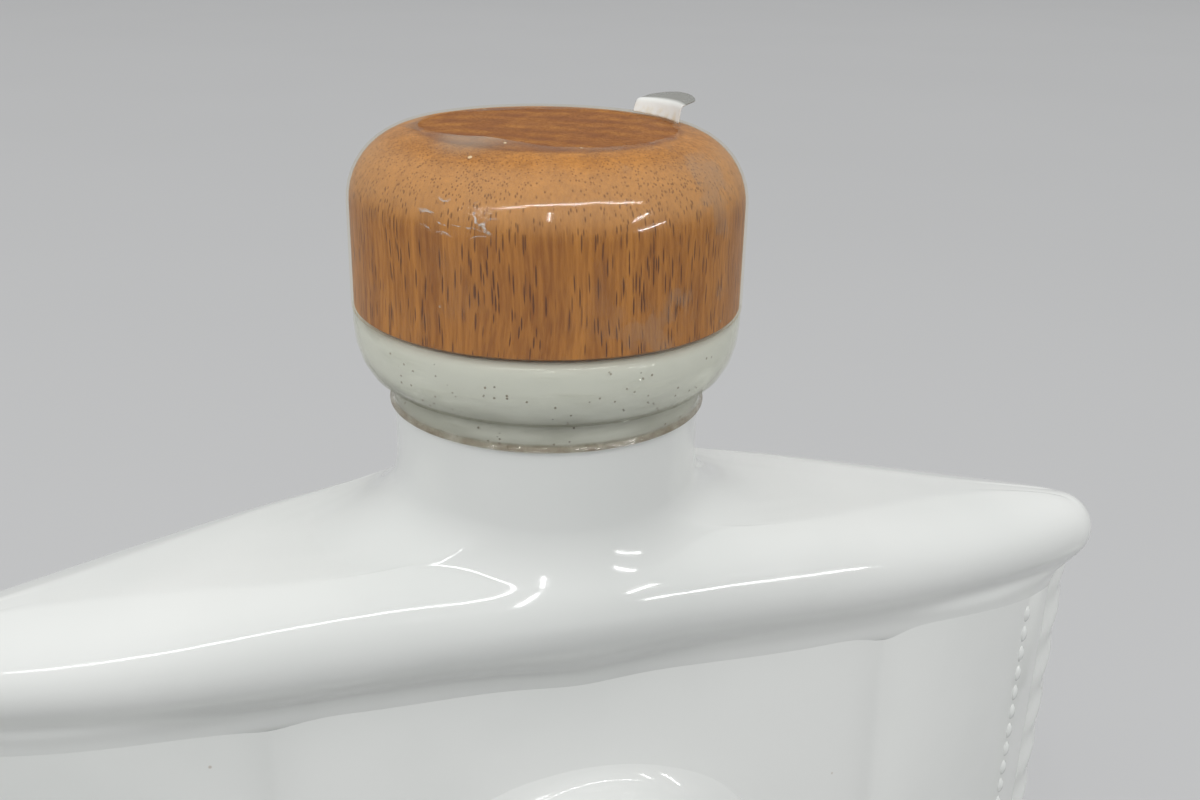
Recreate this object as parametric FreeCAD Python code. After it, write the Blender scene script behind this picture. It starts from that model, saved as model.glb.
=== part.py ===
import FreeCAD
import Part
import math
import os

# A sailing-ship decanter: a hollow porcelain hull carries a billowed square sail,
# the sail carries a rolled yard with the bottle's neck on it, and a cork stopper
# with a turned wooden knob closes the neck under a clear shrink film.
# Frame: +Z up, +X towards the bow, origin on the table under the neck's axis.

# Hull
hull_half_length = 104.0
hull_half_beam = 37.0
hull_end_half_width = 4.0
foot_half_width = 21.0
foot_end_half_width = 3.0
hull_depth = 56.0
sheer_rise = 24.0
keel_rocker = 40.0
keel_sink = 3.0
strake_step = 0.9
hull_wall = 4.2
hull_end_wall = 12.0
strake_count = 5
beam_power = 2.2
sheer_power = 2.2
keel_power = 3.0
foot_power = 2.0
bilge_power = 0.55
bilge_mid_share = 0.3
station_shares = (-1.0, -0.88, -0.7, -0.4, 0.0, 0.4, 0.7, 0.88, 1.0)

# Gunwale rails along the deck's edges
rail_width = 3.6
rail_height = 3.2
rail_end_share = 0.6

# Stem and stern posts, each ending in a scroll
post_lean = 2.0
scroll_radius = 14.0
scroll_height = 42.0
scroll_eye_radius = 4.4
scroll_eye_rise = 1.2
scroll_turn = 2.3 * math.pi
scroll_tightness = 0.17
scroll_band_share = 0.45
scroll_points = 13
stem_outer_shares = ((0.3, 0.72), (0.62, 1.02))
stem_inner_shares = ((0.34, 0.34),)

# Round shields hung along both sides of the hull
shield_radius = 10.5
shield_thick = 2.6
shield_sink = 2.4
shield_boss_radius = 3.6
shield_rim_width = 1.6
shield_rim_rise = 0.8
shield_drop = 8.6
station_step_share = 0.01
shield_places_shares = (-0.6, -0.36, -0.12, 0.12, 0.36, 0.6)

# Sail: two billowed faces of three cloths each, hollow between
sail_height = 106.7
yard_overhang = 0.9
crease_half_gap = 31.0
sail_lead = 3.0
crease_half_thick_top = 8.6
crease_half_thick_belly = 12.6
crease_half_thick_foot = 10.4
middle_billow = 3.2
side_billow = 2.2
leech_half_thick = 2.2
sail_wall = 3.2
leech_wall = 6.0
leech_cavity_half_thick = 1.0
belly_share = 0.45
sail_head_share = 0.25
rope_radius = 2.6
rope_out = 0.2

# Round boss in the middle of each face of the sail
boss_radius = 15.0
boss_rise = 2.8
boss_rim_width = 3.4
boss_rim_rise = 1.4
boss_dome_radius = 5.5
boss_dome_rise = 2.6
boss_sink = 4.0
boss_standoff = 0.8
boss_lead = 1.6
boss_below_yard = 28.3

# Yard: the rolled rim that closes the sail's head
yard_half_length = 60.5
yard_half_width = 10.6
yard_roll = 4.2
yard_round = 3.6
yard_thick = 8.4
yard_crown = 3.2
yard_swell = 4.4
yard_swell_reach = 60.0
yard_power = 2.45
tip_round_share = 0.7
tip_reach_share = 0.85
yard_station_shares = (-1.0, -0.9, -0.72, -0.5, -0.25, 0.0, 0.25, 0.5, 0.72, 0.9, 1.0)

# Neck, lip and bore
neck_height = 24.1
neck_radius = 14.4
neck_flare = 8.5
flare_shares = ((0.0, 1.0), (0.2, 0.5), (0.5, 0.16), (1.0, 0.0))
bore_radius = 10.4
lip_radius = 17.6
lip_height = 6.6
lip_edge_round = 1.2
lip_bowl_out_share = 0.72
lip_bowl_rise_share = 0.3
neck_ring_height = 2.0
neck_ring_out = 0.3
seat_gap = 0.3

# Stopper: wooden knob, dowel and cork
knob_radius = 17.7
knob_height = 15.6
knob_edge = 6.2
dowel_radius = 5.0
dowel_in_knob = 9.0
dowel_in_cork = 14.0
dowel_end_gap = 0.5
glue_gap = 0.05
cork_length = 18.0
cork_clearance = 0.05
cork_chamfer = 1.0

# Shrink film: one piece over the knob, one over the lip, and the pull tab
film_thick = 0.2
film_gap = 0.25
knob_film_gap = 0.05
film_opening_radius = 11.0
film_below_ring = 0.4
film_slit = 0.2
tab_width = 7.4
tab_length = 2.4
tab_thick = 0.35
tab_curl = 1.9
tab_mid_share = 0.3
tab_curl_share = 0.65
tab_place_radius = 11.4
tab_place_angle = 14.0

# Making allowances
overrun = 2.0
lute_gap = 0.05

Vector = FreeCAD.Vector
up = Vector(0, 0, 1)
origin = Vector(0, 0, 0)

# Lengths and heights that follow from the sizes above
sail_half_length = yard_half_length - yard_overhang
deck_z = hull_depth
yard_bottom_z = deck_z + sail_height
yard_top_z = yard_bottom_z + yard_thick
neck_base_z = yard_top_z + neck_flare
knob_z = yard_top_z + neck_height
lip_top_z = knob_z - seat_gap


def outline(start, *steps):
    """Closed wire in the XZ plane; a step is (end,) for a line or (middle, end) for an arc."""
    here = start
    edges = []
    for step in steps + ((start,),):
        points = [Vector(x, 0, z) for x, z in (here,) + step]
        if len(points) == 3:
            edges.append(Part.Arc(*points).toShape())
        elif (points[0] - points[1]).Length > 0:
            edges.append(Part.LineSegment(*points).toShape())
        here = step[-1]
    return Part.Wire(edges)


def turned(wire):
    """Solid of revolution about the neck's axis."""
    return Part.Face(wire).revolve(origin, up, 360)


def spline(points):
    curve = Part.BSplineCurve()
    curve.interpolate(points)
    return curve.toShape()


def save(name, *solids):
    shape = solids[0] if len(solids) == 1 else Part.makeCompound(solids)
    shape.exportStep("parts/" + name + ".step")


# Hull: the lines of the ship as functions of the station, -1 at the stern, 1 at the bow
def half_breadth(station):
    return hull_end_half_width + (hull_half_beam - hull_end_half_width) * (1 - abs(station) ** beam_power)


def half_foot(station):
    return foot_end_half_width + (foot_half_width - foot_end_half_width) * (1 - abs(station) ** foot_power)


def sheer(station):
    return hull_depth + sheer_rise * abs(station) ** sheer_power


def keel(station):
    return keel_rocker * abs(station) ** keel_power - keel_sink


def side_point(station, level):
    """Half-breadth and height of the planking, from the keel at level 0 to the deck at level 1."""
    low = half_foot(station)
    y = low + (half_breadth(station) - low) * level ** bilge_power
    return y, keel(station) + (sheer(station) - keel(station)) * level


def strake_section(station):
    """One cross-section of the planking, each plank's lower edge proud of the plank below."""
    x = station * hull_half_length
    y, z = side_point(station, 0)
    side = [(y + strake_step, z)]
    for plank in range(1, strake_count):
        y, z = side_point(station, plank / strake_count)
        side += [(y, z), (y + strake_step, z)]
    side.append(side_point(station, 1))
    points = [Vector(x, y, z) for y, z in side]
    points += [Vector(x, -y, z) for y, z in reversed(side)]
    return Part.makePolygon(points + points[:1])


def cavity_section(share):
    """One cross-section of the hollow inside the hull, a wall's thickness inside the planking."""
    x = share * (hull_half_length - hull_end_wall)
    station = x / hull_half_length
    low = (half_foot(station) - hull_wall, max(keel(station), 0) + hull_wall)
    high = (half_breadth(station) - hull_wall, sheer(station) - hull_wall)
    y, z = side_point(station, bilge_mid_share)
    middle = (y - hull_wall, max(z, low[1] + (high[1] - low[1]) * bilge_mid_share))
    right = [Vector(x, y, z) for y, z in (low, middle, high)]
    left = [Vector(x, -y, z) for y, z in (high, middle, low)]
    edges = [
        Part.Arc(*right).toShape(),
        Part.LineSegment(right[2], left[0]).toShape(),
        Part.Arc(*left).toShape(),
        Part.LineSegment(left[2], right[0]).toShape(),
    ]
    return Part.Wire(edges)


def below(height):
    """Block that fills everything under a height, wider than the ship."""
    reach = 2 * hull_half_length
    corner = Vector(-reach, -reach, height - reach)
    return Part.makeBox(2 * reach, 2 * reach, reach, corner)


hull_body = Part.makeLoft([strake_section(s) for s in station_shares], True, False)
hull_body = hull_body.cut(below(0))
hull_cavity = Part.makeLoft([cavity_section(s) for s in station_shares], True, False)


# Sail: a section is eight edges, three billowed cloths on each face and a narrow leech at each end
def sail_section(height, crease_half_thick, inset, end_inset, leech_half):
    half = sail_half_length - end_inset
    fold = crease_half_thick - inset
    aft, fore = sail_lead - crease_half_gap, sail_lead + crease_half_gap
    stops = [(-half, leech_half), (aft, fold), (fore, fold), (half, leech_half)]
    billows = (side_billow, middle_billow, side_billow)
    edges = []
    for side in (-1, 1):
        face = stops if side < 0 else stops[::-1]
        for (x0, y0), (x1, y1), billow in zip(face, face[1:], billows):
            middle = Vector((x0 + x1) / 2, side * ((y0 + y1) / 2 + billow), height)
            ends = Vector(x0, side * y0, height), Vector(x1, side * y1, height)
            edges.append(Part.Arc(ends[0], middle, ends[1]).toShape())
        x, y = face[-1]
        edges.append(Part.LineSegment(Vector(x, side * y, height), Vector(x, -side * y, height)).toShape())
    return Part.Wire(edges)


def sail_loft(low, high, inset, end_inset, leech_half):
    belly_z = deck_z + belly_share * sail_height
    rows = (
        (low, crease_half_thick_foot),
        (belly_z, crease_half_thick_belly),
        (high, crease_half_thick_top),
    )
    wires = [sail_section(z, thick, inset, end_inset, leech_half) for z, thick in rows]
    return Part.makeLoft(wires, True, False)


# Yard: a lens-shaped slab with a rolled edge, crowned along its length and swelling towards the neck
def yard_half_breadth(x):
    """Half-breadth of the yard, round at the tips."""
    share = abs(x) / yard_half_length
    if share > 1:
        return math.sqrt(yard_roll ** 2 - (abs(x) - yard_half_length) ** 2)
    slope = yard_half_width * yard_power * share ** (yard_power - 1) / yard_half_length
    return yard_half_width * (1 - share ** yard_power) + yard_roll * math.hypot(1, slope)


def yard_lift(x):
    """Height that the yard's top gains towards the neck."""
    return yard_swell * max(1 - abs(x) / yard_swell_reach, 0) ** 2


def yard_section(x):
    """Cross-section of the yard: flat above and below, rolled at both edges."""
    middle = yard_bottom_z + yard_thick / 2 - yard_crown * (x / yard_half_length) ** 2
    half = yard_thick / 2
    y = yard_half_breadth(x)
    flat = y - min(yard_round, y * tip_round_share)
    high = half + yard_lift(x)
    quarters = ((1, high), (-1, high), (-1, -half), (1, -half))
    corners = [Vector(x, side * flat, middle + rise) for side, rise in quarters]
    edges = [
        Part.LineSegment(corners[0], corners[1]).toShape(),
        Part.Arc(corners[1], Vector(x, -y, middle), corners[2]).toShape(),
        Part.LineSegment(corners[2], corners[3]).toShape(),
        Part.Arc(corners[3], Vector(x, y, middle), corners[0]).toShape(),
    ]
    return Part.Wire(edges)


yard_tip = yard_half_length + yard_roll * tip_reach_share
yard_stations = [-yard_tip] + [share * yard_half_length for share in yard_station_shares] + [yard_tip]
yard_body = Part.makeLoft([yard_section(x) for x in yard_stations], True, False)


# The neck swells out of the yard along the ship, and runs straight down into it at the front and back
def neck_ring(height, along):
    ring = Part.Ellipse(Vector(0, 0, height), along, neck_radius)
    return Part.Wire(ring.toShape())


flare_rings = [(yard_bottom_z + yard_thick / 2, neck_radius + neck_flare)]
for rise_share, out_share in flare_shares:
    flare_rings.append((yard_top_z + rise_share * neck_flare, neck_radius + out_share * neck_flare))
flare = Part.makeLoft([neck_ring(*ring) for ring in flare_rings], True, False)
shoulder_body = yard_body.fuse(flare)

sail_cavity_z = deck_z - hull_wall - overrun
sail_head_z = yard_bottom_z + sail_head_share * yard_thick
sail_body = sail_loft(deck_z - overrun, sail_head_z, 0, 0, leech_half_thick)
sail_cavity = sail_loft(sail_cavity_z, sail_head_z, sail_wall, leech_wall, leech_cavity_half_thick)
bore = Part.makeCylinder(bore_radius, 2 * neck_height, Vector(0, 0, sail_head_z - lute_gap))

hull = hull_body.cut(hull_cavity).cut(sail_cavity)
sail = sail_body.cut(hull_body).cut(yard_body).cut(sail_cavity)
shoulder = shoulder_body.cut(bore).cut(sail_cavity)

# Bolt ropes down the sail's two edges, from the deck to the yard
ropes = []
for side in (-1, 1):
    foot = Vector(side * (sail_half_length + rope_out), 0, deck_z)
    rope = Part.makeCylinder(rope_radius, sail_head_z - deck_z, foot)
    ropes.append(rope.cut(hull_body).cut(sail_body).cut(yard_body))


# Gunwale rails: a square bar on the deck's edge, from post to post
def rail_section(station, side):
    x = station * hull_half_length
    outer = side * half_breadth(station)
    inner = outer - side * min(rail_width, half_breadth(station) * rail_end_share)
    low = sheer(station) + lute_gap
    high = low + rail_height
    corners = [Vector(x, y, z) for y, z in ((outer, low), (outer, high), (inner, high), (inner, low))]
    return Part.makePolygon(corners + corners[:1])


rails = [Part.makeLoft([rail_section(s, side) for s in station_shares], True, False) for side in (-1, 1)]


# Posts: a flat stem that rises from the hull's end and rolls inwards into a scroll
def post(end):
    root_low, root_high = keel(1), sheer(1) + rail_height
    eye_x = hull_half_length + post_lean
    eye_z = sheer(1) + scroll_height
    outer = [Vector(hull_half_length, 0, root_low)]
    inner = [Vector(hull_half_length, 0, root_high)]
    for rise_share, reach_share in stem_outer_shares:
        rise = root_low + rise_share * (eye_z - root_low)
        outer.append(Vector(hull_half_length + reach_share * (post_lean + scroll_radius), 0, rise))
    for rise_share, reach_share in stem_inner_shares:
        rise = root_high + rise_share * (eye_z - root_high)
        inner.append(Vector(hull_half_length + reach_share * (post_lean + scroll_radius), 0, rise))
    for step in range(scroll_points):
        angle = scroll_turn * step / (scroll_points - 1)
        radius = scroll_radius * math.exp(-scroll_tightness * angle)
        turn = Vector(math.cos(angle), 0, math.sin(angle))
        eye = Vector(eye_x, 0, eye_z)
        outer.append(eye + turn * radius)
        inner.append(eye + turn * (radius * scroll_band_share))
    edges = [
        spline(outer),
        Part.LineSegment(outer[-1], inner[-1]).toShape(),
        spline(inner),
        Part.LineSegment(inner[0], outer[0]).toShape(),
    ]
    half = Vector(0, hull_end_half_width, 0)
    band = Part.Face(Part.Wire(edges))
    band.translate(half * -1)
    eye_half = hull_end_half_width + scroll_eye_rise
    eye_side = Vector(eye_x, -eye_half, eye_z)
    eye = Part.makeCylinder(scroll_eye_radius, 2 * eye_half, eye_side, Vector(0, 1, 0))
    solid = band.extrude(half * 2).fuse(eye)
    if end < 0:
        solid = solid.mirror(origin, Vector(1, 0, 0))
    return solid


posts = [post(end) for end in (-1, 1)]


# Shields: a domed disc with a rolled rim and a boss, seated on the planking
def shield_disc(radius, back, rise, rim_width, rim_rise, boss_r, boss_rise):
    """Disc about +Z with its back below the origin, a raised rim and a domed boss."""
    field = rise - rim_rise
    dome_r = (boss_r ** 2 + boss_rise ** 2) / (2 * boss_rise)
    dome_z = field + boss_rise - dome_r
    half_angle = math.atan2(boss_r, field - dome_z) / 2
    return turned(outline(
        (0, -back),
        ((radius, -back),),
        ((radius, field),),
        ((radius - rim_width / 2, rise), (radius - rim_width, field)),
        ((boss_r, field),),
        ((dome_r * math.sin(half_angle), dome_z + dome_r * math.cos(half_angle)), (0, field + boss_rise)),
    ))


def placed(shape, place, outward):
    shape = shape.copy()
    shape.Placement = FreeCAD.Placement(place, FreeCAD.Rotation(up, outward))
    return shape


def hull_shield(station, side):
    level = 1 - shield_drop / (sheer(station) - keel(station))
    y, z = side_point(station, level)
    y_up, z_up = side_point(station, 1)
    y_fore = side_point(station + station_step_share, level)[0]
    along = Vector(station_step_share * hull_half_length, side * (y_fore - y), 0)
    rise = Vector(0, side * (y_up - y), z_up - z)
    outward = along.cross(rise) * -side
    disc = shield_disc(shield_radius, shield_sink, shield_thick, shield_rim_width, shield_rim_rise,
                       shield_boss_radius, shield_boss_radius)
    place = Vector(station * hull_half_length, side * (y + strake_step), z)
    return placed(disc, place, outward).cut(hull_body).cut(rails[side > 0])


shields = [[hull_shield(station, side) for station in shield_places_shares] for side in (-1, 1)]


# Bosses: a larger disc of the same kind in the middle of each face of the sail
def sail_face_y(x, z):
    """Half-thickness of the sail at a point of its face."""
    far_out = Vector(x, hull_half_beam, z)
    chord = Part.LineSegment(Vector(x, 0, z), far_out).toShape().common(sail_body)
    return max(vertex.Y for vertex in chord.Vertexes)


def sail_boss(side):
    height = yard_bottom_z - boss_below_yard
    low_y, high_y = [sail_face_y(boss_lead, height + step) for step in (-boss_radius / 2, boss_radius / 2)]
    outward = Vector(0, side * boss_radius, low_y - high_y)
    disc = shield_disc(boss_radius, boss_sink, boss_rise, boss_rim_width, boss_rim_rise,
                       boss_dome_radius, boss_dome_rise)
    place = Vector(boss_lead, side * (sail_face_y(boss_lead, height) + boss_standoff), height)
    return placed(disc, place, outward).cut(sail_body)


bosses = [sail_boss(side) for side in (-1, 1)]

# Neck: a tube with a small ring and a bowl-shaped lip
lip_bottom_z = lip_top_z - lip_height
ring_z = lip_bottom_z - neck_ring_height
lip_edge = (lip_radius, lip_top_z - lip_edge_round)
lip_bowl = (neck_radius + (lip_radius - neck_radius) * lip_bowl_out_share,
            lip_bottom_z + lip_height * lip_bowl_rise_share)
lip_neck = (neck_radius, lip_bottom_z)
lip_corner = lip_edge_round * (1 - math.sqrt(0.5))
neck = turned(outline(
    (bore_radius, neck_base_z),
    ((neck_radius, neck_base_z),),
    ((neck_radius, ring_z),),
    ((neck_radius + neck_ring_out, ring_z + neck_ring_height / 2), lip_neck),
    (lip_bowl, lip_edge),
    ((lip_radius - lip_corner, lip_top_z - lip_corner), (lip_radius - lip_edge_round, lip_top_z)),
    ((bore_radius, lip_top_z),),
))

# Stopper: turned knob, dowel glued into it, and the cork glued on the dowel
knob_top_z = knob_z + knob_height
knob_corner = knob_edge * (1 - math.sqrt(0.5))
knob = turned(outline(
    (0, knob_z),
    ((knob_radius, knob_z),),
    ((knob_radius, knob_top_z - knob_edge),),
    ((knob_radius - knob_corner, knob_top_z - knob_corner), (knob_radius - knob_edge, knob_top_z)),
    ((0, knob_top_z),),
))
dowel_hole = dowel_radius + glue_gap
knob = knob.cut(Part.makeCylinder(dowel_hole, dowel_in_knob, Vector(0, 0, knob_z)))
dowel_z = knob_z - dowel_in_cork
dowel = Part.makeCylinder(dowel_radius, dowel_in_cork + dowel_in_knob - dowel_end_gap, Vector(0, 0, dowel_z))
cork_radius = bore_radius - cork_clearance
cork_z = knob_z - cork_length
cork = turned(outline(
    (0, cork_z),
    ((cork_radius - cork_chamfer, cork_z),),
    ((cork_radius, cork_z + cork_chamfer),),
    ((cork_radius, knob_z),),
    ((dowel_hole, knob_z),),
    ((dowel_hole, dowel_z - dowel_end_gap),),
    ((0, dowel_z - dowel_end_gap),),
))


# Film over the knob: a thin sleeve shrunk round the top edge, open in the middle of the top
def knob_skin(gap):
    """Points of the knob's skin from its lower edge to the opening, a gap away from the wood."""
    side = knob_radius + gap
    top = knob_top_z + gap
    edge = knob_edge + gap
    corner = edge * (1 - math.sqrt(0.5))
    rounding = [(side, top - edge), (side - corner, top - corner), (side - edge, top)]
    return [(side, knob_z + film_slit / 2)] + rounding


near, far = knob_skin(knob_film_gap), knob_skin(knob_film_gap + film_thick)
film_cap = turned(outline(
    near[0],
    (far[0],),
    (far[1],),
    (far[2], far[3]),
    ((film_opening_radius, far[3][1]),),
    ((film_opening_radius, near[3][1]),),
    (near[3],),
    (near[2], near[1]),
))


# Film over the lip, from the slit under the knob down to a little below the ring
lip_points = [Vector(r, 0, z) for r, z in (lip_edge, lip_bowl, lip_neck)]
lip_arc = Part.Arc(*lip_points).toShape().Curve


def lip_skin(gap):
    """Points of the lip's skin from the slit to the film's lower edge, a gap away from the porcelain."""
    centre = lip_arc.Center
    grow = 1 + gap / lip_arc.Radius
    edge, bowl = [centre + (point - centre) * grow for point in lip_points[:2]]
    ring_r = neck_radius + neck_ring_out + gap
    ring_top = centre.z - math.sqrt((lip_arc.Radius + gap) ** 2 - (ring_r - centre.x) ** 2)
    bend = [(edge.x, edge.z), (bowl.x, bowl.z), (ring_r, ring_top)]
    return [(edge.x, knob_z - film_slit / 2)] + bend + [(ring_r, ring_z - film_below_ring)]


near, far = lip_skin(film_gap), lip_skin(film_gap + film_thick)
film_skirt = turned(outline(
    near[0],
    (far[0],),
    (far[1],),
    (far[2], far[3]),
    (far[4],),
    (near[4],),
    (near[3],),
    (near[2], near[1]),
))

# Pull tab: a short strip of white film that stands on the cap's top edge and curls over
film_top_z = knob_top_z + knob_film_gap + film_thick
tab_profile = outline(
    (0, 0),
    ((tab_length * tab_mid_share, tab_curl * tab_curl_share), (tab_length, tab_curl)),
    ((tab_length - tab_thick, tab_curl),),
    ((tab_length * tab_mid_share - tab_thick, tab_curl * tab_curl_share + tab_thick), (-tab_thick, 0)),
)
tab = Part.Face(tab_profile).extrude(Vector(0, tab_width, 0))
tab.translate(Vector(tab_place_radius, -tab_width / 2, film_top_z))
tab.rotate(origin, up, tab_place_angle)

os.makedirs("parts", exist_ok=True)
save("hull", hull)
save("stern_post", posts[0])
save("bow_post", posts[1])
save("gunwale_starboard", rails[0])
save("gunwale_port", rails[1])
save("shields_starboard", *shields[0])
save("shields_port", *shields[1])
save("sail", sail)
save("bolt_rope_aft", ropes[0])
save("bolt_rope_fore", ropes[1])
save("sail_boss_starboard", bosses[0])
save("sail_boss_port", bosses[1])
save("yard_shoulder", shoulder)
save("neck", neck)
save("wood_knob", knob)
save("stopper_dowel", dowel)
save("cork", cork)
save("film_cap", film_cap)
save("film_skirt", film_skirt)
save("pull_tab", tab)
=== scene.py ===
import bmesh
import bpy
import math
from mathutils import Matrix, Quaternion, Vector, geometry


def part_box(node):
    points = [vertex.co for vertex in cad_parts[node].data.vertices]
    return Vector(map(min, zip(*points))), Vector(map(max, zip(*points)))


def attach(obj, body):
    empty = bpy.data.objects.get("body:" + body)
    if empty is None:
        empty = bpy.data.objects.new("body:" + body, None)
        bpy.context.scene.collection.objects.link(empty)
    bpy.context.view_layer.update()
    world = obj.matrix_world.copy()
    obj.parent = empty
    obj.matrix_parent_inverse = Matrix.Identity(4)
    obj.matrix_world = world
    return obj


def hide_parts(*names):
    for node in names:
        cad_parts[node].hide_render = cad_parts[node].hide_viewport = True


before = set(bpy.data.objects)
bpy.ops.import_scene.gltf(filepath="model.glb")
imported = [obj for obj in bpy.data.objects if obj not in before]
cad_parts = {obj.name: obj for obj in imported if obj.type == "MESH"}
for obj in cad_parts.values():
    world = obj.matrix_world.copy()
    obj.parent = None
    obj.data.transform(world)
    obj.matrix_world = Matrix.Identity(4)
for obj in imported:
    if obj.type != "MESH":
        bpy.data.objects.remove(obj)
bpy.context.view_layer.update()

# Hull: the slip-cast porcelain belly of the ship, hollow, with lapped planks in its sides and a
# planked deck. It stands on a ground foot, and the other porcelain pieces are luted on to it.
mm = 0.001


def span(node):
    """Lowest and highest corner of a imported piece, in millimetres."""
    low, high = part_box(node)
    return low / mm, high / mm


hull_half_length, hull_half_beam, hull_end_height = span("hull")[1]
hull_depth = 56.0
hull_end_half_width = 4.0
foot_half_width = 21.0
foot_end_half_width = 3.0
keel_rocker = 40.0
keel_sink = 3.0
keel_power = 3
beam_power = 2.2
bilge_power = 0.55
plank_count = 5
plank_lap = 0.9
plank_shares = ((-0.015, 0.3), (0.0, 0.85), (0.06, 1.0), (0.5, 0.75), (0.92, 0.2), (0.98, 0.0))
deck_seam_shares = (0.82, 0.62, 0.42, 0.22)
deck_seam_half_share = 0.012
deck_seam_depth = 0.45
station_count = 27
hull_end_reach = 1.2


def half_breadth(station):
    fullness = 1 - abs(station) ** beam_power
    return hull_end_half_width + (hull_half_beam - hull_end_half_width) * fullness


def half_foot(station):
    return foot_end_half_width + (foot_half_width - foot_end_half_width) * (1 - station ** 2)


def sheer(station):
    return hull_depth + (hull_end_height - hull_depth) * abs(station) ** beam_power


def keel(station):
    return keel_rocker * abs(station) ** keel_power - keel_sink


def side_point(station, level):
    """Half-breadth and height of the planking, from the keel at level 0 to the deck at level 1."""
    low = half_foot(station)
    y = low + (half_breadth(station) - low) * level ** bilge_power
    return y, keel(station) + (sheer(station) - keel(station)) * level


def hull_ring(station, x):
    """A closed section of the hull: keel, the planks of one side, the deck, and the other side."""
    bottom = max(keel(station), 0)
    breadth, top = half_breadth(station), sheer(station)
    side = [(half_foot(station) / 2, bottom)]
    for plank in range(plank_count):
        low_y, low_z = side_point(station, plank / plank_count)
        high_y, high_z = side_point(station, (plank + 1) / plank_count)
        for rise, out in plank_shares:
            y = low_y + (high_y - low_y) * rise + plank_lap * out
            side.append((y, max(low_z + (high_z - low_z) * rise, bottom)))
    side.append((breadth, top))
    for share in deck_seam_shares:
        for step in (1, 0, -1):
            sunk = 0 if step else deck_seam_depth * breadth / hull_half_beam
            side.append((breadth * (share + step * deck_seam_half_share), top - sunk))
    right = [Vector((x, y, z)) for y, z in side]
    left = [Vector((x, -y, z)) for y, z in reversed(side)]
    return [Vector((x, 0, bottom))] + right + [Vector((x, 0, top))] + left


def drawn_through(rings):
    """A skin that starts as one ring of vertices and is extruded through the others in turn."""
    bm = bmesh.new()
    loop = bmesh.ops.create_circle(bm, segments=len(rings[0]), radius=1)["verts"]
    for step, ring in enumerate(rings):
        if step:
            edges = [bm.edges.get(pair) for pair in zip(loop, loop[1:] + loop[:1])]
            grown = bmesh.ops.extrude_edge_only(bm, edges=edges)["geom"]
            onward = {}
            for vert in grown:
                if isinstance(vert, bmesh.types.BMVert):
                    onward.update({edge.other_vert(vert): vert for edge in vert.link_edges})
            loop = [onward[vert] for vert in loop]
        for vert, place in zip(loop, ring):
            vert.co = place
    return bm


def piece(name, bm, finish, levels=0, crisp=0):
    """Makes a bmesh that is drawn in millimetres into a named object in metres."""
    bmesh.ops.recalc_face_normals(bm, faces=bm.faces)
    bmesh.ops.scale(bm, vec=Vector((mm, mm, mm)), verts=bm.verts)
    mesh = bpy.data.meshes.new(name)
    bm.to_mesh(mesh)
    bm.free()
    mesh.shade_smooth()
    if crisp:
        mesh.set_sharp_from_angle(angle=math.radians(crisp))
    mesh.materials.append(finish)
    made = bpy.data.objects.new(name, mesh)
    bpy.context.scene.collection.objects.link(made)
    if levels:
        rounding = made.modifiers.new("rounding", "SUBSURF")
        rounding.levels = rounding.render_levels = levels
    return made


class Wire:
    """A socket in a material's nodes: sums and products of wires add Math nodes."""

    def __init__(self, tree, socket):
        self.tree = tree
        self.socket = socket

    def node(self, kind, settings, values, output=0):
        """Adds a node, sets its settings first, then its sockets' values or links."""
        made = self.tree.nodes.new("ShaderNode" + kind)
        for key, value in settings.items():
            setattr(made, key, value)
        for key, value in values.items():
            if isinstance(value, Wire):
                self.tree.links.new(value.socket, made.inputs[key])
            else:
                made.inputs[key].default_value = value
        return Wire(self.tree, made.outputs[output] if made.outputs else None)

    def other(self, output):
        """Another output of the node that this wire comes from."""
        return Wire(self.tree, self.socket.node.outputs[output])

    def math(self, operation, left, right):
        return self.node("Math", {"operation": operation}, {0: left, 1: right})

    def __add__(self, other):
        return self.math("ADD", self, other)

    __radd__ = __add__

    def __sub__(self, other):
        return self.math("SUBTRACT", self, other)

    def __rsub__(self, other):
        return self.math("SUBTRACT", other, self)

    def __mul__(self, other):
        return self.math("MULTIPLY", self, other)

    __rmul__ = __mul__

    def __pow__(self, other):
        return self.math("POWER", self, other)

    def most(self, other):
        return self.math("MAXIMUM", self, other)

    def between(self, low, high):
        """A mask that runs smoothly from 0 where this wire is low to 1 where it is high."""
        reach = {"Value": self, "From Min": low, "From Max": high}
        return self.node("MapRange", {"interpolation_type": "SMOOTHSTEP"}, reach)

    def mix(self, low, high):
        """The colour low where this wire is 0 and the colour high where it is 1."""
        return self.node("Mix", {"data_type": "RGBA"}, {0: self, 6: low, 7: high}, 2)


def new_finish(name):
    """An empty material, and the wire of a piece's own coordinates in metres."""
    material = bpy.data.materials.new(name)
    material.use_nodes = True
    material.node_tree.nodes.clear()
    coordinates = material.node_tree.nodes.new("ShaderNodeTexCoord")
    return material, Wire(material.node_tree, coordinates.outputs["Object"])


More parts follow.
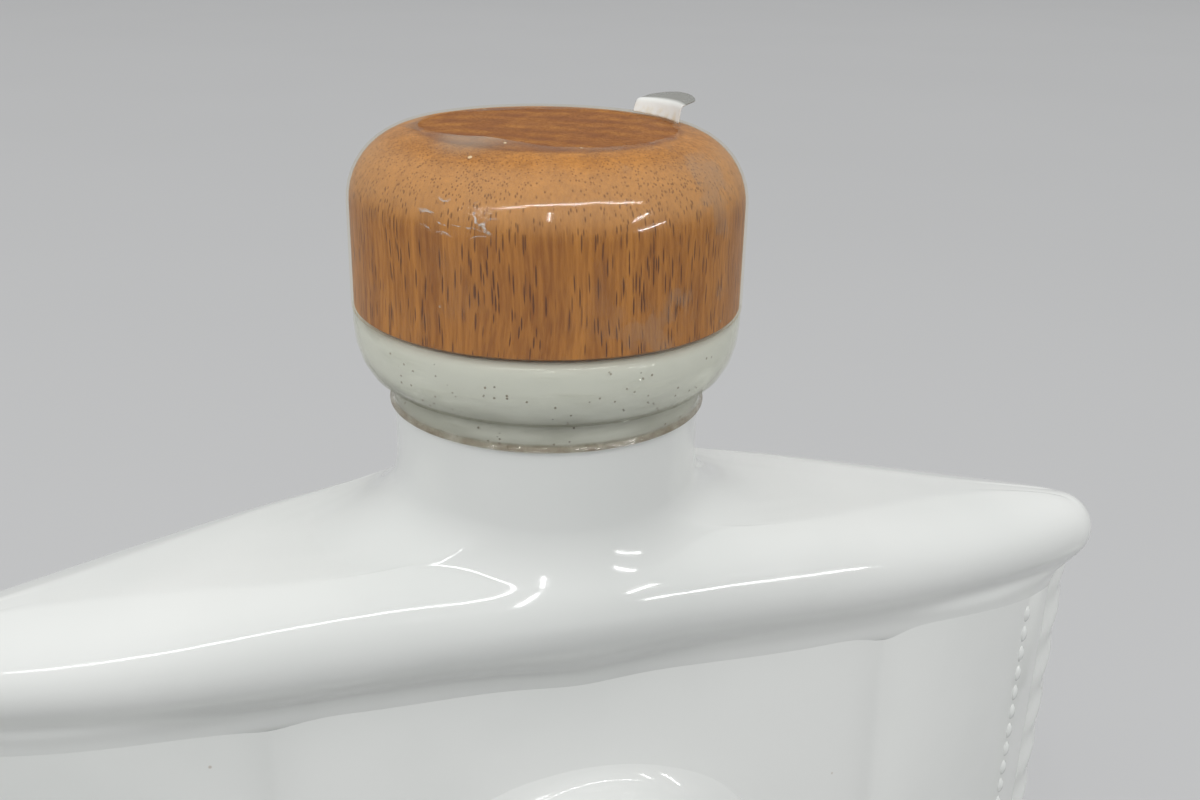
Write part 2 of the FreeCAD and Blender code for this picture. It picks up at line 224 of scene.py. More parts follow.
glaze_white = (0.80, 0.815, 0.795, 1)
glaze_grey = (0.735, 0.755, 0.735, 1)
glaze_speck = (0.36, 0.27, 0.18, 1)
bisque = (0.66, 0.62, 0.55, 1)
porcelain, place = new_finish("glazed_porcelain")
cloud = place.node("TexNoise", {}, {"Vector": place, "Scale": 28.0, "Detail": 3.0})
cells = place.node("TexVoronoi", {}, {"Vector": place, "Scale": 210.0}, "Distance")
chance = place.node("SeparateColor", {}, {"Color": cells.other("Color")}, "Red")
speck = cells.between(0.05, 0.02) * chance.between(0.86, 0.9) * 0.5
height = place.node("SeparateXYZ", {}, {"Vector": place}, "Z")
ground_foot = height.between(0.0009, 0.0004)
colour = cloud.between(0.35, 0.7).mix(glaze_white, glaze_grey)
colour = speck.mix(colour, glaze_speck)
colour = ground_foot.mix(colour, bisque)
smear = place.node("TexNoise", {}, {"Vector": place, "Scale": 60.0, "Detail": 6.0, "Roughness": 0.7})
rough = smear.between(0.45, 0.75) * 0.12 + 0.09 + ground_foot * 0.6
flow = place.node("TexNoise", {}, {"Vector": place, "Scale": 85.0, "Detail": 2.0})
bump = place.node("Bump", {}, {"Strength": 0.2, "Distance": 0.0004, "Height": flow}, "Normal")
shine = {"Base Color": colour, "Roughness": rough, "Normal": bump, "IOR": 1.5, "Coat Weight": 0.5}
shader = place.node("BsdfPrincipled", {}, {**shine, "Coat Roughness": 0.03})
place.node("OutputMaterial", {}, {"Surface": shader})

stations = [math.sin(math.pi * (step / (station_count - 1) - 0.5)) for step in range(station_count)]
rings = [hull_ring(station, station * hull_half_length) for station in stations]
rings.insert(0, hull_ring(-1, -hull_half_length - hull_end_reach))
rings.append(hull_ring(1, hull_half_length + hull_end_reach))
bm = drawn_through(rings)
bmesh.ops.holes_fill(bm, edges=bm.edges)
hull = piece("planked_hull", bm, porcelain, levels=2)
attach(hull, "decanter")
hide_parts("hull")

# Stem and stern posts: flat porcelain stems with a raised border that roll inwards into a scroll
# round a button. They are press-moulded and luted to the two ends of the hull.
post_half_thick = hull_end_half_width
post_root = 3.0
post_lean = 2.0
rail_height = 3.2
scroll_radius = 14.0
scroll_height = 42.0
scroll_turn = 2.3 * math.pi
scroll_tightness = 0.17
scroll_band_share = 0.45
scroll_steps = 30
stem_steps = 9
stem_outer_pulls = ((15.6, 25.7), (2.3, -34.6))
stem_inner_pulls = ((2.5, 5.0), (0.0, -14.0))
post_edge_shares = ((0.0, 0.5), (0.03, 0.9), (0.08, 1.0), (0.19, 1.0), (0.25, 0.8))
eye_outline = ((0.0, 5.2), (2.4, 5.0), (3.8, 4.5), (4.4, 3.5))
eye_sides = 24
merge_distance = 0.0001


def turn(bm, outline, steps, place=Matrix()):
    """Spins an outline of radii and heights about +Z into bm, and moves the new shape to its place."""
    before = set(bm.verts)
    verts = [bm.verts.new((radius, 0, height)) for radius, height in outline]
    edges = [bm.edges.new(pair) for pair in zip(verts, verts[1:])]
    full = {"angle": 2 * math.pi, "steps": steps, "use_merge": True}
    bmesh.ops.spin(bm, geom=verts + edges, cent=(0, 0, 0), axis=(0, 0, 1), dvec=(0, 0, 0), **full)
    doubled = [vert for vert in bm.verts if vert not in before]
    bmesh.ops.remove_doubles(bm, verts=doubled, dist=merge_distance)
    bmesh.ops.transform(bm, matrix=place, verts=[vert for vert in bm.verts if vert not in before])


def post_pairs():
    """Points of the post's outer and inner edge, from its root to the end of the scroll."""
    root_low = Vector((hull_half_length, 0, keel(1)))
    root_high = Vector((hull_half_length, 0, sheer(1) + rail_height))
    eye = Vector((hull_half_length + post_lean, 0, sheer(1) + scroll_height))
    pairs = [(root_low - Vector((post_root, 0, 0)), root_high - Vector((post_root, 0, 0)))]
    ends = ((root_low, scroll_radius, stem_outer_pulls),
            (root_high, scroll_radius * scroll_band_share, stem_inner_pulls))
    stems = []
    for root, radius, pulls in ends:
        top = eye + Vector((radius, 0, 0))
        handles = [end + Vector((reach, 0, rise)) for end, (reach, rise) in zip((root, top), pulls)]
        stems.append(geometry.interpolate_bezier(root, *handles, top, stem_steps)[:-1])
    pairs += zip(*stems)
    for step in range(scroll_steps):
        angle = scroll_turn * step / (scroll_steps - 1)
        radius = scroll_radius * math.exp(-scroll_tightness * angle)
        out = Vector((math.cos(angle), 0, math.sin(angle))) * radius
        pairs.append((eye + out, eye + out * scroll_band_share))
    return pairs, eye


def post_ring(outer, inner):
    """A closed section of the post: a flat field between two raised borders on each side."""
    edge = list(post_edge_shares) + [(1 - share, out) for share, out in reversed(post_edge_shares)]
    loop = [(share, out) for share, out in edge] + [(share, -out) for share, out in reversed(edge)]
    return [outer.lerp(inner, share) + Vector((0, out * post_half_thick, 0)) for share, out in loop]


pairs, eye = post_pairs()
eye_loop = list(eye_outline) + [(radius, -side) for radius, side in reversed(eye_outline)]
for end, name in ((-1, "stern_post"), (1, "bow_post")):
    bm = drawn_through([post_ring(outer, inner) for outer, inner in pairs])
    bmesh.ops.holes_fill(bm, edges=bm.edges)
    turn(bm, eye_loop, eye_sides, Matrix.Translation(eye) @ Matrix.Rotation(math.pi / 2, 4, "X"))
    bmesh.ops.scale(bm, vec=Vector((end, 1, 1)), verts=bm.verts)
    post = piece(name.replace("post", "scroll"), bm, porcelain, levels=2)
    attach(post, "decanter")
    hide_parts(name)

# Gunwale rails: rounded porcelain bars along the two edges of the deck, rolled from clay and
# luted to it from post to post.
rail_width = 3.6
rail_end_share = 0.6
rail_half_section = ((0.0, -0.12), (0.0, 0.6), (0.12, 0.9), (0.34, 1.0))


def rail_ring(station, side):
    """A closed section of the rail on one edge of the deck."""
    outer = half_breadth(station)
    width = min(rail_width, outer * rail_end_share)
    x, low = station * hull_half_length, sheer(station)
    inner_half = [(1 - share, rise) for share, rise in reversed(rail_half_section)]
    section = list(rail_half_section) + inner_half
    return [Vector((x, side * (outer - width * a), low + rail_height * b)) for a, b in section]


for side, name in ((-1, "gunwale_starboard"), (1, "gunwale_port")):
    bm = drawn_through([rail_ring(station, side) for station in stations])
    bmesh.ops.holes_fill(bm, edges=bm.edges)
    rail = piece(name.replace("gunwale", "rail"), bm, porcelain, levels=2)
    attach(rail, "decanter")
    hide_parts(name)

# Shields: round porcelain sprigs with a rolled rim and a domed boss, pressed in a mould and stuck
# on the planking in a row under each rail.
shield_radius = 10.5
shield_drop = 8.6
shield_back = 2.4
shield_places = (-0.6, -0.36, -0.12, 0.12, 0.36, 0.6)
shield_sides = 40
shield_form = {"rise": 2.6, "rim_width": 1.9, "rim_rise": 0.9, "dome_radius": 3.6, "dome_rise": 3.4}
disc_steps = 6
disc_fillet_share = 0.125
station_step = 0.01


def disc_outline(radius, rise, rim_width, rim_rise, dome_radius, dome_rise):
    """Half-outline of a round sprig, from the middle of its dome over the rolled rim."""
    field = rise - rim_rise
    outline = []
    for step in range(disc_steps + 1):
        angle = math.pi / 2 * step / disc_steps
        outline.append((dome_radius * math.sin(angle), field + dome_rise * math.cos(angle)))
    fillet = (radius - rim_width - dome_radius) * disc_fillet_share
    sunk = field - fillet / 3
    outline += [(dome_radius + fillet, sunk), (radius - rim_width - fillet, sunk)]
    for step in range(disc_steps + 1):
        angle = math.pi * (1 - step / disc_steps)
        across = radius - rim_width / 2 + rim_width / 2 * math.cos(angle)
        outline.append((across, field + rim_rise * math.sin(angle)))
    return outline


shield_outline = disc_outline(shield_radius, **shield_form) + [(shield_radius, -shield_back)]
for side, name in ((-1, "shields_starboard"), (1, "shields_port")):
    bm = bmesh.new()
    for station in shield_places:
        level = 1 - shield_drop / (sheer(station) - keel(station))
        y, z = side_point(station, level)
        y_up, z_up = side_point(station, 1)
        y_fore = side_point(station + station_step, level)[0]
        along = Vector((station_step * hull_half_length, side * (y_fore - y), 0))
        rise = Vector((0, side * (y_up - y), z_up - z))
        turned = Vector((0, 0, 1)).rotation_difference(along.cross(rise) * -side)
        centre = Vector((station * hull_half_length, side * (y + plank_lap), z))
        turn(bm, shield_outline, shield_sides, Matrix.Translation(centre) @ turned.to_matrix().to_4x4())
    bmesh.ops.holes_fill(bm, edges=bm.edges)
    row = piece(name.replace("shields", "shield_row"), bm, porcelain)
    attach(row, "decanter")
    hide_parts(name)

# Sail: the slip-cast porcelain body of the bottle, hollow, in three billowed cloths on each face
# with soft creases between them. Its foot is luted to the deck and its head runs up into the yard.
sail_half_length = 59.6
sail_foot_z = 50.0
sail_head_z = 165.6
sail_head_hold = 0.8
sail_rows = 14
crease_half_gap = 31.0
sail_lead = 3.0
crease_stops = ((54.0, 10.4), (104.0, 12.6), (164.8, 8.6))
cloth_billows = (2.2, 3.2, 2.2)
leech_half_thick = 2.2
crease_groove = 0.8
crease_soft = 1.8
crease_fade = (153.0, 159.0)
cloth_shares = (0.0, 0.02, 0.05, 0.1, 0.2, 0.3, 0.4, 0.5, 0.6, 0.7, 0.8, 0.9, 0.95, 0.98)
creases = (sail_lead - crease_half_gap, sail_lead + crease_half_gap)
cloth_edges = (-sail_half_length, *creases, sail_half_length)


def crease_half_thick(z):
    """Half-thickness of the sail at its creases: the parabola through foot, belly and head."""
    total = 0
    for height, thick in crease_stops:
        others = [stop for stop, _ in crease_stops if stop != height]
        total += thick * math.prod((z - stop) / (height - stop) for stop in others)
    return total


def sail_half_thick(x, z):
    """Half-thickness of the sail at a point of its face."""
    fold = crease_half_thick(z)
    thicks = (leech_half_thick, fold, fold, leech_half_thick)
    for cloth, billow in enumerate(cloth_billows):
        share = (x - cloth_edges[cloth]) / (cloth_edges[cloth + 1] - cloth_edges[cloth])
        if share <= 1 or cloth == len(cloth_billows) - 1:
            break
    chord = thicks[cloth] + (thicks[cloth + 1] - thicks[cloth]) * share
    grooves = [math.exp(-((x - edge) / crease_soft) ** 2) for edge in creases]
    depth = crease_groove * min(max((crease_fade[1] - z) / (crease_fade[1] - crease_fade[0]), 0), 1)
    return chord + 4 * billow * share * (1 - share) - depth * sum(grooves)


def sail_ring(z):
    """A closed section of the sail, out along its near face and back along the far one."""
    cloths = list(zip(cloth_edges, cloth_edges[1:]))
    across = [a + (b - a) * share for a, b in cloths for share in cloth_shares]
    across.append(sail_half_length)
    near = [Vector((x, -sail_half_thick(x, z), z)) for x in across]
    far = [Vector((x, sail_half_thick(x, z), z)) for x in reversed(across)]
    return near + far


sail_row = (sail_head_z - sail_foot_z) / (sail_rows - 1)
sail_heights = [sail_foot_z + sail_row * row for row in range(sail_rows)]
sail_heights.insert(-1, sail_head_z - sail_head_hold)
bm = drawn_through([sail_ring(z) for z in sail_heights])
bmesh.ops.holes_fill(bm, edges=bm.edges)
sail = piece("billowed_sail", bm, porcelain, levels=2)
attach(sail, "decanter")
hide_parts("sail")

# Bolt ropes: three-strand ropes of rolled clay down the two upright edges of the sail, luted on
# from the deck to the yard.
rope_radius = 2.6
rope_groove = 0.38
rope_pitch = 19.5
rope_strands = 3
rope_sides = 24
rope_step = 1.0
rope_out = 0.2
rope_tail_steps = 2


def rope_ring(x, z):
    """A section of the rope, with its strands turned on by the height."""
    ring = []
    for side in range(rope_sides):
        angle = 2 * math.pi * side / rope_sides
        strand = rope_strands * (angle - 2 * math.pi * z / rope_pitch)
        radius = rope_radius - rope_groove * (0.5 - 0.5 * math.cos(strand))
        ring.append(Vector((x + radius * math.cos(angle), radius * math.sin(angle), z)))
    return ring


for end, name in ((-1, "bolt_rope_aft"), (1, "bolt_rope_fore")):
    rope_x = end * (sail_half_length + rope_out)
    steps = int((span(name)[1].z - hull_depth) / rope_step) + rope_tail_steps
    bm = drawn_through([rope_ring(rope_x, hull_depth + rope_step * step) for step in range(steps)])
    bmesh.ops.holes_fill(bm, edges=bm.edges)
    rope = piece(name.replace("bolt_rope", "twisted_rope"), bm, porcelain, levels=1)
    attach(rope, "decanter")
    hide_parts(name)

# Stitches: a line of small flat beads beside each rope, on both faces of the sail, pressed into
# the same clay.
stitch_inset = 4.9
stitch_radii = (0.7, 0.6, 1.15)
stitch_sink = 0.33
stitch_spacing = 2.6
stitch_low = 62.0
stitch_high = 160.0
stitch_ball = {"u_segments": 8, "v_segments": 6, "radius": 1.0}

bm = bmesh.new()
stitch_x = sail_half_length - stitch_inset
stitch_count = int((stitch_high - stitch_low) / stitch_spacing)
for step in range(stitch_count):
    z = stitch_low + stitch_spacing * step
    for end in (-1, 1):
        out = sail_half_thick(end * stitch_x, z) - stitch_sink
        for side in (-1, 1):
            seat = Matrix.LocRotScale((end * stitch_x, side * out, z), None, stitch_radii)
            bmesh.ops.create_uvsphere(bm, matrix=seat, **stitch_ball)
stitches = piece("sail_stitches", bm, porcelain)
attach(stitches, "decanter")

# Sail bosses: a larger round sprig in the middle of each face of the sail, with a broad rolled rim
# and a low dome. The clay is smoothed out round its foot.
boss_x = 1.6
boss_z = 134.4
boss_radius = 15.0
boss_standoff = 0.8
boss_sides = 64
boss_foot = ((15.4, 0.5), (15.8, -0.3), (16.5, -0.85), (17.6, -1.25), (19.0, -1.6), (20.0, -2.6))
boss_form = {"rise": 2.8, "rim_width": 3.4, "rim_rise": 1.4, "dome_radius": 5.5, "dome_rise": 2.6}
boss_outline = disc_outline(boss_radius, **boss_form) + list(boss_foot)

for side, name in ((-1, "sail_boss_starboard"), (1, "sail_boss_port")):
    low_y = sail_half_thick(boss_x, boss_z - boss_radius / 2)
    high_y = sail_half_thick(boss_x, boss_z + boss_radius / 2)
    outward = Vector((0, side * boss_radius, low_y - high_y))
    centre = Vector((boss_x, side * (sail_half_thick(boss_x, boss_z) + boss_standoff), boss_z))
    turned = Vector((0, 0, 1)).rotation_difference(outward).to_matrix().to_4x4()
    bm = bmesh.new()
    turn(bm, boss_outline, boss_sides, Matrix.Translation(centre) @ turned)
    bmesh.ops.holes_fill(bm, edges=bm.edges)
    boss = piece(name.replace("sail_boss", "round_boss"), bm, porcelain, levels=1)
    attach(boss, "decanter")
    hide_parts(name)

# Yard, shoulder and neck: one porcelain casting that closes the head of the sail. A lens-shaped
# slab with a rolled rim swells into the neck, and the neck ends in a ring and a bowl-shaped lip.
yard_half_length = 60.5
yard_half_width = 10.6
yard_power = 2.45
yard_bottom_z = 162.7
yard_thick = 8.4
yard_crown = 3.2
yard_swell = 4.4
yard_swell_reach = 60.0
yard_swell_soft = 5.0
swell_middle_share = 0.7
yard_roll = 4.2
roll_gain = 1.7
end_dome_start = 26.0
end_dome_full = 60.0
waist_out = 2.4
waist_out_reach = 12.0
waist_gain = 1.0
waist_gain_reach = 6.0
yard_quarter = 16
yard_tip_columns = 3
column_spread = 2.5
roll_stops = ((-45, 0.8), (-22, 0.95), (0, 1.0), (20, 1.0), (40, 1.0), (60, 1.0), (80, 1.0))
roll_room_share = 0.55
tuck_stops = ((-0.35, -3.4), (-0.06, -2.6), (0.03, -1.6), (0.12, -0.5), (0.28, 0.6))
tuck_turn = 0.9
tuck_end_inset = 0.6
tuck_end = sail_half_length - tuck_end_inset
top_gaps = (38.0, 28.0, 19.0, 12.0, 7.5, 4.8, 3.0, 1.8, 0.9, 0.35, 0.0)
top_gap_share = 0.85
cove_rise = 3.4
cove_side_rise = 2.1
cove_reach = 1.8
cove_side_reach = 7.0
neck_radius = 14.4
neck_base_z = span("neck")[0].z
lip_radius = span("neck")[1].x
lip_top_z = span("neck")[1].z
lip_height = 6.6
lip_edge_round = 1.2
bore_radius = 10.4
bore_edge_round = 1.0
neck_ring_height = 2.0
neck_ring_out = 0.3
neck_ring_hold = 0.6
bowl_steps = 5
lip_edge_steps = 3


def yard_core(x):
    """Half-breadth of the yard inside its roll, and the slope of that line in plan."""
    share = abs(x) / yard_half_length
    slope = yard_half_width * yard_power * share ** (yard_power - 1) / yard_half_length
    return yard_half_width * (1 - share ** yard_power), slope


def yard_column(column):
    """Core point and outward direction of the yard's outline, in plan, and the direction on the neck."""
    quarter, step = divmod(column, yard_quarter)
    if quarter % 2:
        step = yard_quarter - step
    angle = math.pi / 2 * step / yard_quarter
    on_neck = neck_radius * math.cos(angle)
    spread = max(step - yard_tip_columns, 0) / (yard_quarter - yard_tip_columns)
    x = on_neck + (yard_half_length - on_neck) * math.cos(math.pi / 2 * spread) ** column_spread
    y, slope = yard_core(x)
    aim = math.atan2(1, slope) * min(step / yard_tip_columns, 1)
    flip = Vector((1 if quarter in (0, 3) else -1, 1 if quarter in (0, 1) else -1, 0))
    outward = Vector((math.cos(aim), math.sin(aim), 0))
    bearing = (angle + math.atan2(y + outward.y * yard_roll, x + outward.x * yard_roll)) / 2
    toward = Vector((math.cos(bearing), math.sin(bearing), 0))
    return Vector((x, y, 0)) * flip, outward * flip, toward * flip


yard_columns = [yard_column(column) for column in range(4 * yard_quarter)]


def waist(x, reach):
    """How much the yard is filled out at a place along it, beside the neck."""
    return math.exp(-(x / reach) ** 2)


def roll_radius(x):
    """Radius of the rolled rim, which is thinnest at the yard's tips and fullest beside the neck."""
    thinned = math.sqrt(max(1 - (x / yard_half_length) ** 2, 0))
    return yard_roll + roll_gain * thinned + waist_gain * waist(x, waist_gain_reach)


def roll_height(x):
    """Height of the middle of the roll: it droops towards the ends and swells beside the neck."""
    swell = max(1 - math.hypot(x, yard_swell_soft) / yard_swell_reach, 0) ** 2
    droop = yard_crown * (x / yard_half_length) ** 2
    return yard_bottom_z + yard_thick / 2 - droop + swell_middle_share * yard_swell * swell


def yard_edge(x):
    """Half-breadth of the yard over its roll."""
    core, slope = yard_core(x)
    return core + yard_roll * math.hypot(1, slope) + waist_out * waist(x, waist_out_reach)


def roll_reach(x):
    """How far the roll reaches in over the top: to the middle line at the yard's domed ends."""
    share = (abs(x) - end_dome_start) / (end_dome_full - end_dome_start)
    share = max(0, min(share, 1))
    return roll_radius(x) + (yard_edge(x) - roll_radius(x)) * share


def neck_cove(point):
    """Rise of the fillet between the yard and the neck, tighter at the neck's front and back."""
    away = math.hypot(point.x, point.y)
    sideways = 1 - (point.y / away) ** 2
    reach = cove_reach + cove_side_reach * sideways ** 2
    share = 1 - max(away - neck_radius, 0) / reach
    return (cove_rise + cove_side_rise * sideways) * (1 - math.sqrt(1 - max(share, 0) ** 2))


def tuck_ring(share, rise):
    """A ring of the rim's underside, where it is smoothed on to the sail's wall."""
    ring = []
    for core, outward, _ in yard_columns:
        x = max(-tuck_end, min(tuck_end, core.x))
        z = roll_height(x) - roll_radius(x) + rise
        wall = sail_half_thick(x, z)
        reach = share * (yard_edge(x) - wall)
        across = wall * min(abs(outward.y), tuck_turn) / tuck_turn * math.copysign(1, outward.y)
        ring.append(Vector((x, across, z)) + outward * reach)
    return ring


def roll_ring(degrees, waist_share):
    """A ring of the rolled rim, drawn together where the neck leaves little room on top of it."""
    angle = math.radians(degrees)
    ring = []
    for core, outward, _ in yard_columns:
        radius = roll_radius(core.x)
        filled = waist_out * waist(core.x, waist_out_reach) * waist_share
        edge = core + outward * (yard_roll + filled)
        reach = roll_reach(core.x) if degrees > 0 else radius
        across, lift, up = reach * (1 - math.cos(angle)), 0, math.sin(angle)
        if degrees > 0:
            wall = math.sqrt(max(neck_radius ** 2 - edge.x ** 2, 0))
            room = (abs(edge.y) - wall) * roll_room_share if wall else reach
            across *= min(room / reach, 1)
            up = math.sqrt(1 - (1 - across / reach) ** 2)
        point = edge - outward * across
        if degrees > 0:
            lift = neck_cove(point)
        point.z = roll_height(core.x) + radius * up + lift
        ring.append(point)
    return ring


def top_ring(rim, gap):
    """A ring of the yard's top, a gap away from the neck's wall, nearer where there is less room."""
    ring = []
    for point, (_, _, toward) in zip(rim, yard_columns):
        wall = toward * neck_radius
        below = Vector((point.x, point.y, 0))
        room = (below - wall).length
        place = wall.lerp(below, min(gap / room, gap / top_gaps[0] * top_gap_share))
        reach = roll_reach(place.x)
        over = max(abs(place.y) - (yard_edge(place.x) - reach), 0) / reach
        rise = roll_radius(place.x) * math.sqrt(max(1 - over ** 2, 0))
        place.z = roll_height(place.x) + rise + neck_cove(place)
        ring.append(place)
    return ring


def quarter_round(steps):
    """Sines and cosines of the angles of a quarter turn."""
    angles = [math.pi / 2 * step / steps for step in range(steps + 1)]
    return [(math.sin(angle), math.cos(angle)) for angle in angles]


rings = [tuck_ring(*stop) for stop in tuck_stops] + [roll_ring(*stop) for stop in roll_stops]
rings += [top_ring(rings[-1], gap) for gap in top_gaps]
lip_bottom_z = lip_top_z - lip_height
ring_z = lip_bottom_z - neck_ring_height
bowl_height = lip_height - lip_edge_round
bowl_out = lip_radius - neck_radius
lip_stops = [(neck_radius, ring_z), (neck_radius + neck_ring_out, ring_z + neck_ring_height / 2)]
for sin, cos in quarter_round(bowl_steps):
    lip_stops.append((neck_radius + bowl_out * sin, lip_bottom_z + bowl_height * (1 - cos)))
neck_stops = [(neck_radius, (neck_base_z + ring_z) / 2), (neck_radius, ring_z - neck_ring_hold)]
neck_stops += lip_stops
for sin, cos in quarter_round(lip_edge_steps)[1:]:
    neck_stops.append((lip_radius - lip_edge_round * (1 - cos), lip_top_z - lip_edge_round * (1 - sin)))
neck_stops.append((bore_radius + 2 * bore_edge_round, lip_top_z))
neck_stops.append((bore_radius + bore_edge_round / 2, lip_top_z - bore_edge_round / 4))
neck_stops.append((bore_radius, lip_top_z - bore_edge_round))
neck_stops += [(bore_radius, neck_base_z), (bore_radius, (neck_base_z + yard_bottom_z) / 2)]
neck_stops.append((bore_radius, yard_bottom_z))
for radius, z in neck_stops:
    rings.append([toward * radius + Vector((0, 0, z)) for _, _, toward in yard_columns])
bm = drawn_through(rings)
open_edges = [edge for edge in bm.edges if edge.is_boundary]
bmesh.ops.bridge_loops(bm, edges=open_edges)
yard = piece("yard_and_neck", bm, porcelain, levels=2)
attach(yard, "decanter")
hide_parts("yard_shoulder", "neck")

# Cork: the plug that seals the bore, punched from natural cork and glued round the dowel. It
# comes out with the knob.
cork_low, cork_high = span("cork")
cork_radius = cork_high.x
cork_chamfer = 1.0
cork_sides = 64
cork_crisp = 35
dowel_hole_radius = 5.05
cork_hole_z = 180.7
cork_tan = (0.52, 0.33, 0.17, 1)
cork_pale = (0.66, 0.46, 0.27, 1)
cork_dark = (0.16, 0.08, 0.035, 1)

cork_finish, place = new_finish("natural_cork")
grains = place.node("TexVoronoi", {}, {"Vector": place, "Scale": 700.0}, "Distance")
tint = place.node("SeparateColor", {}, {"Color": grains.other("Color")}, "Red")
mottle = place.node("TexNoise", {}, {"Vector": place, "Scale": 320.0, "Detail": 5.0, "Roughness": 0.7})
pits = mottle.between(0.58, 0.68)
colour = pits.mix(tint.mix(cork_tan, cork_pale), cork_dark)
bump = place.node("Bump", {}, {"Strength": 0.6, "Distance": 0.0003, "Height": grains - pits}, "Normal")
shader = place.node("BsdfPrincipled", {}, {"Base Color": colour, "Roughness": 0.85, "Normal": bump})
place.node("OutputMaterial", {}, {"Surface": shader})

bm = bmesh.new()
outline = [(0.0, cork_low.z), (cork_radius - cork_chamfer, cork_low.z)]
outline += [(cork_radius, cork_low.z + cork_chamfer), (cork_radius, cork_high.z)]
outline.append((dowel_hole_radius, cork_high.z))
outline += [(dowel_hole_radius, cork_hole_z), (0.0, cork_hole_z)]
turn(bm, outline, cork_sides)
cork = piece("cork_plug", bm, cork_finish, crisp=cork_crisp)
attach(cork, "stopper")
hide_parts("cork")

# Dowel: the turned beech pin that joins the stopper's two parts, with its ends chamfered. It is
# glued into the knob above and into the cork below.
dowel_low, dowel_high = span("stopper_dowel")
dowel_radius = dowel_high.x
dowel_chamfer = 0.6
dowel_sides = 40
beech_pale = (0.62, 0.44, 0.27, 1)
beech_fleck = (0.44, 0.27, 0.14, 1)

dowel_finish, place = new_finish("beech")
along = place.node("Mapping", {}, {"Vector": place, "Scale": (1.0, 1.0, 0.1)})
fleck = place.node("TexNoise", {}, {"Vector": along, "Scale": 1600.0, "Detail": 4.0})
colour = fleck.between(0.4, 0.7).mix(beech_pale, beech_fleck)
bump = place.node("Bump", {}, {"Strength": 0.3, "Distance": 0.0001, "Height": fleck}, "Normal")
shader = place.node("BsdfPrincipled", {}, {"Base Color": colour, "Roughness": 0.6, "Normal": bump})
place.node("OutputMaterial", {}, {"Surface": shader})

bm = bmesh.new()
dowel_end = dowel_radius - dowel_chamfer
outline = [(0.0, dowel_low.z), (dowel_end, dowel_low.z), (dowel_radius, dowel_low.z + dowel_chamfer)]
outline += [(dowel_radius, dowel_high.z - dowel_chamfer), (dowel_end, dowel_high.z), (0.0, dowel_high.z)]
turn(bm, outline, dowel_sides)
dowel = piece("beech_dowel", bm, dowel_finish, crisp=cork_crisp)
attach(dowel, "stopper")
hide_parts("stopper_dowel")

# Knob: turned from an open-pored hardwood with the grain upright, so that its side shows pores as
# dark dashes and its top shows them as dots. It is glued on the dowel. Its shoulder carries a
# painted sheen, a lighter tan painted into its colour.
knob_low, knob_high = span("wood_knob")
knob_radius = knob_high.x
knob_edge = 6.2
knob_foot_round = 0.15
knob_hole_z = 204.2
knob_steps = 12
knob_sides = 128
knob_top_hold = 2.0
knob_crisp = 40
top_in = 0.0112
top_out = 0.0124
wood_tan = (0.56, 0.245, 0.042, 1)
wood_brown = (0.28, 0.098, 0.010, 1)
wood_red = (0.22, 0.075, 0.018, 1)
wood_painted_sheen = (0.82, 0.45, 0.17, 1)
wood_pore = (0.12, 0.036, 0.006, 1)

knob_finish, place = new_finish("pored_hardwood")
height = place.node("SeparateXYZ", {}, {"Vector": place}, "Z")
sway = place.node("TexNoise", {}, {"Vector": place, "Scale": 60.0, "Detail": 2.0}, "Color")
swayed = {0: sway, 1: (0.002, 0.002, 0.0), 2: place}
offset = place.node("VectorMath", {"operation": "MULTIPLY_ADD"}, swayed)
upright = place.node("Mapping", {}, {"Vector": offset, "Scale": (1.0, 1.0, 0.07)})
fine = {"Vector": upright, "Scale": 2600.0, "Detail": 4.0, "Roughness": 0.65}
fibre = place.node("TexNoise", {}, fine)
stripe = place.node("TexNoise", {}, {"Vector": upright, "Scale": 420.0, "Detail": 3.0})
pith = place.node("Mapping", {}, {"Vector": offset, "Location": (0.012, 0.02, 0.0)})
years = {"Vector": pith, "Scale": 90.0, "Distortion": 2.5, "Detail": 2.0, "Detail Scale": 1.5}
ring = place.node("TexWave", {"wave_type": "RINGS", "rings_direction": "Z"}, years, "Fac")
vessel = place.node("Mapping", {}, {"Vector": offset, "Scale": (1.0, 1.0, 0.075)})
pores = place.node("TexVoronoi", {}, {"Vector": vessel, "Scale": 4400.0}, "Distance")
chance = place.node("SeparateColor", {}, {"Color": pores.other("Color")}, "Red")
crowd = place.node("TexNoise", {}, {"Vector": upright, "Scale": 160.0, "Detail": 1.0})
present = (chance + crowd * 1.5 + ring * 0.15).between(1.02, 1.4)
pore = pores.between(0.38, 0.24) * present
fade = height.between(0.2075, 0.2025) * 0.35 + 0.65
level = place.node("Mapping", {}, {"Vector": place, "Scale": (1.0, 1.0, 0.0)})
away = place.node("VectorMath", {"operation": "LENGTH"}, {0: level}, "Value")
end_grain = height.between(0.2098, 0.2107) * away.between(top_out, top_in)
streak = (ring * 0.3 + stripe.between(0.3, 0.7) * 0.3 + 0.4) * end_grain
colour = (stripe.between(0.3, 0.7) * 0.45 + fibre.between(0.35, 0.65) * 0.55).mix(wood_tan, wood_brown)
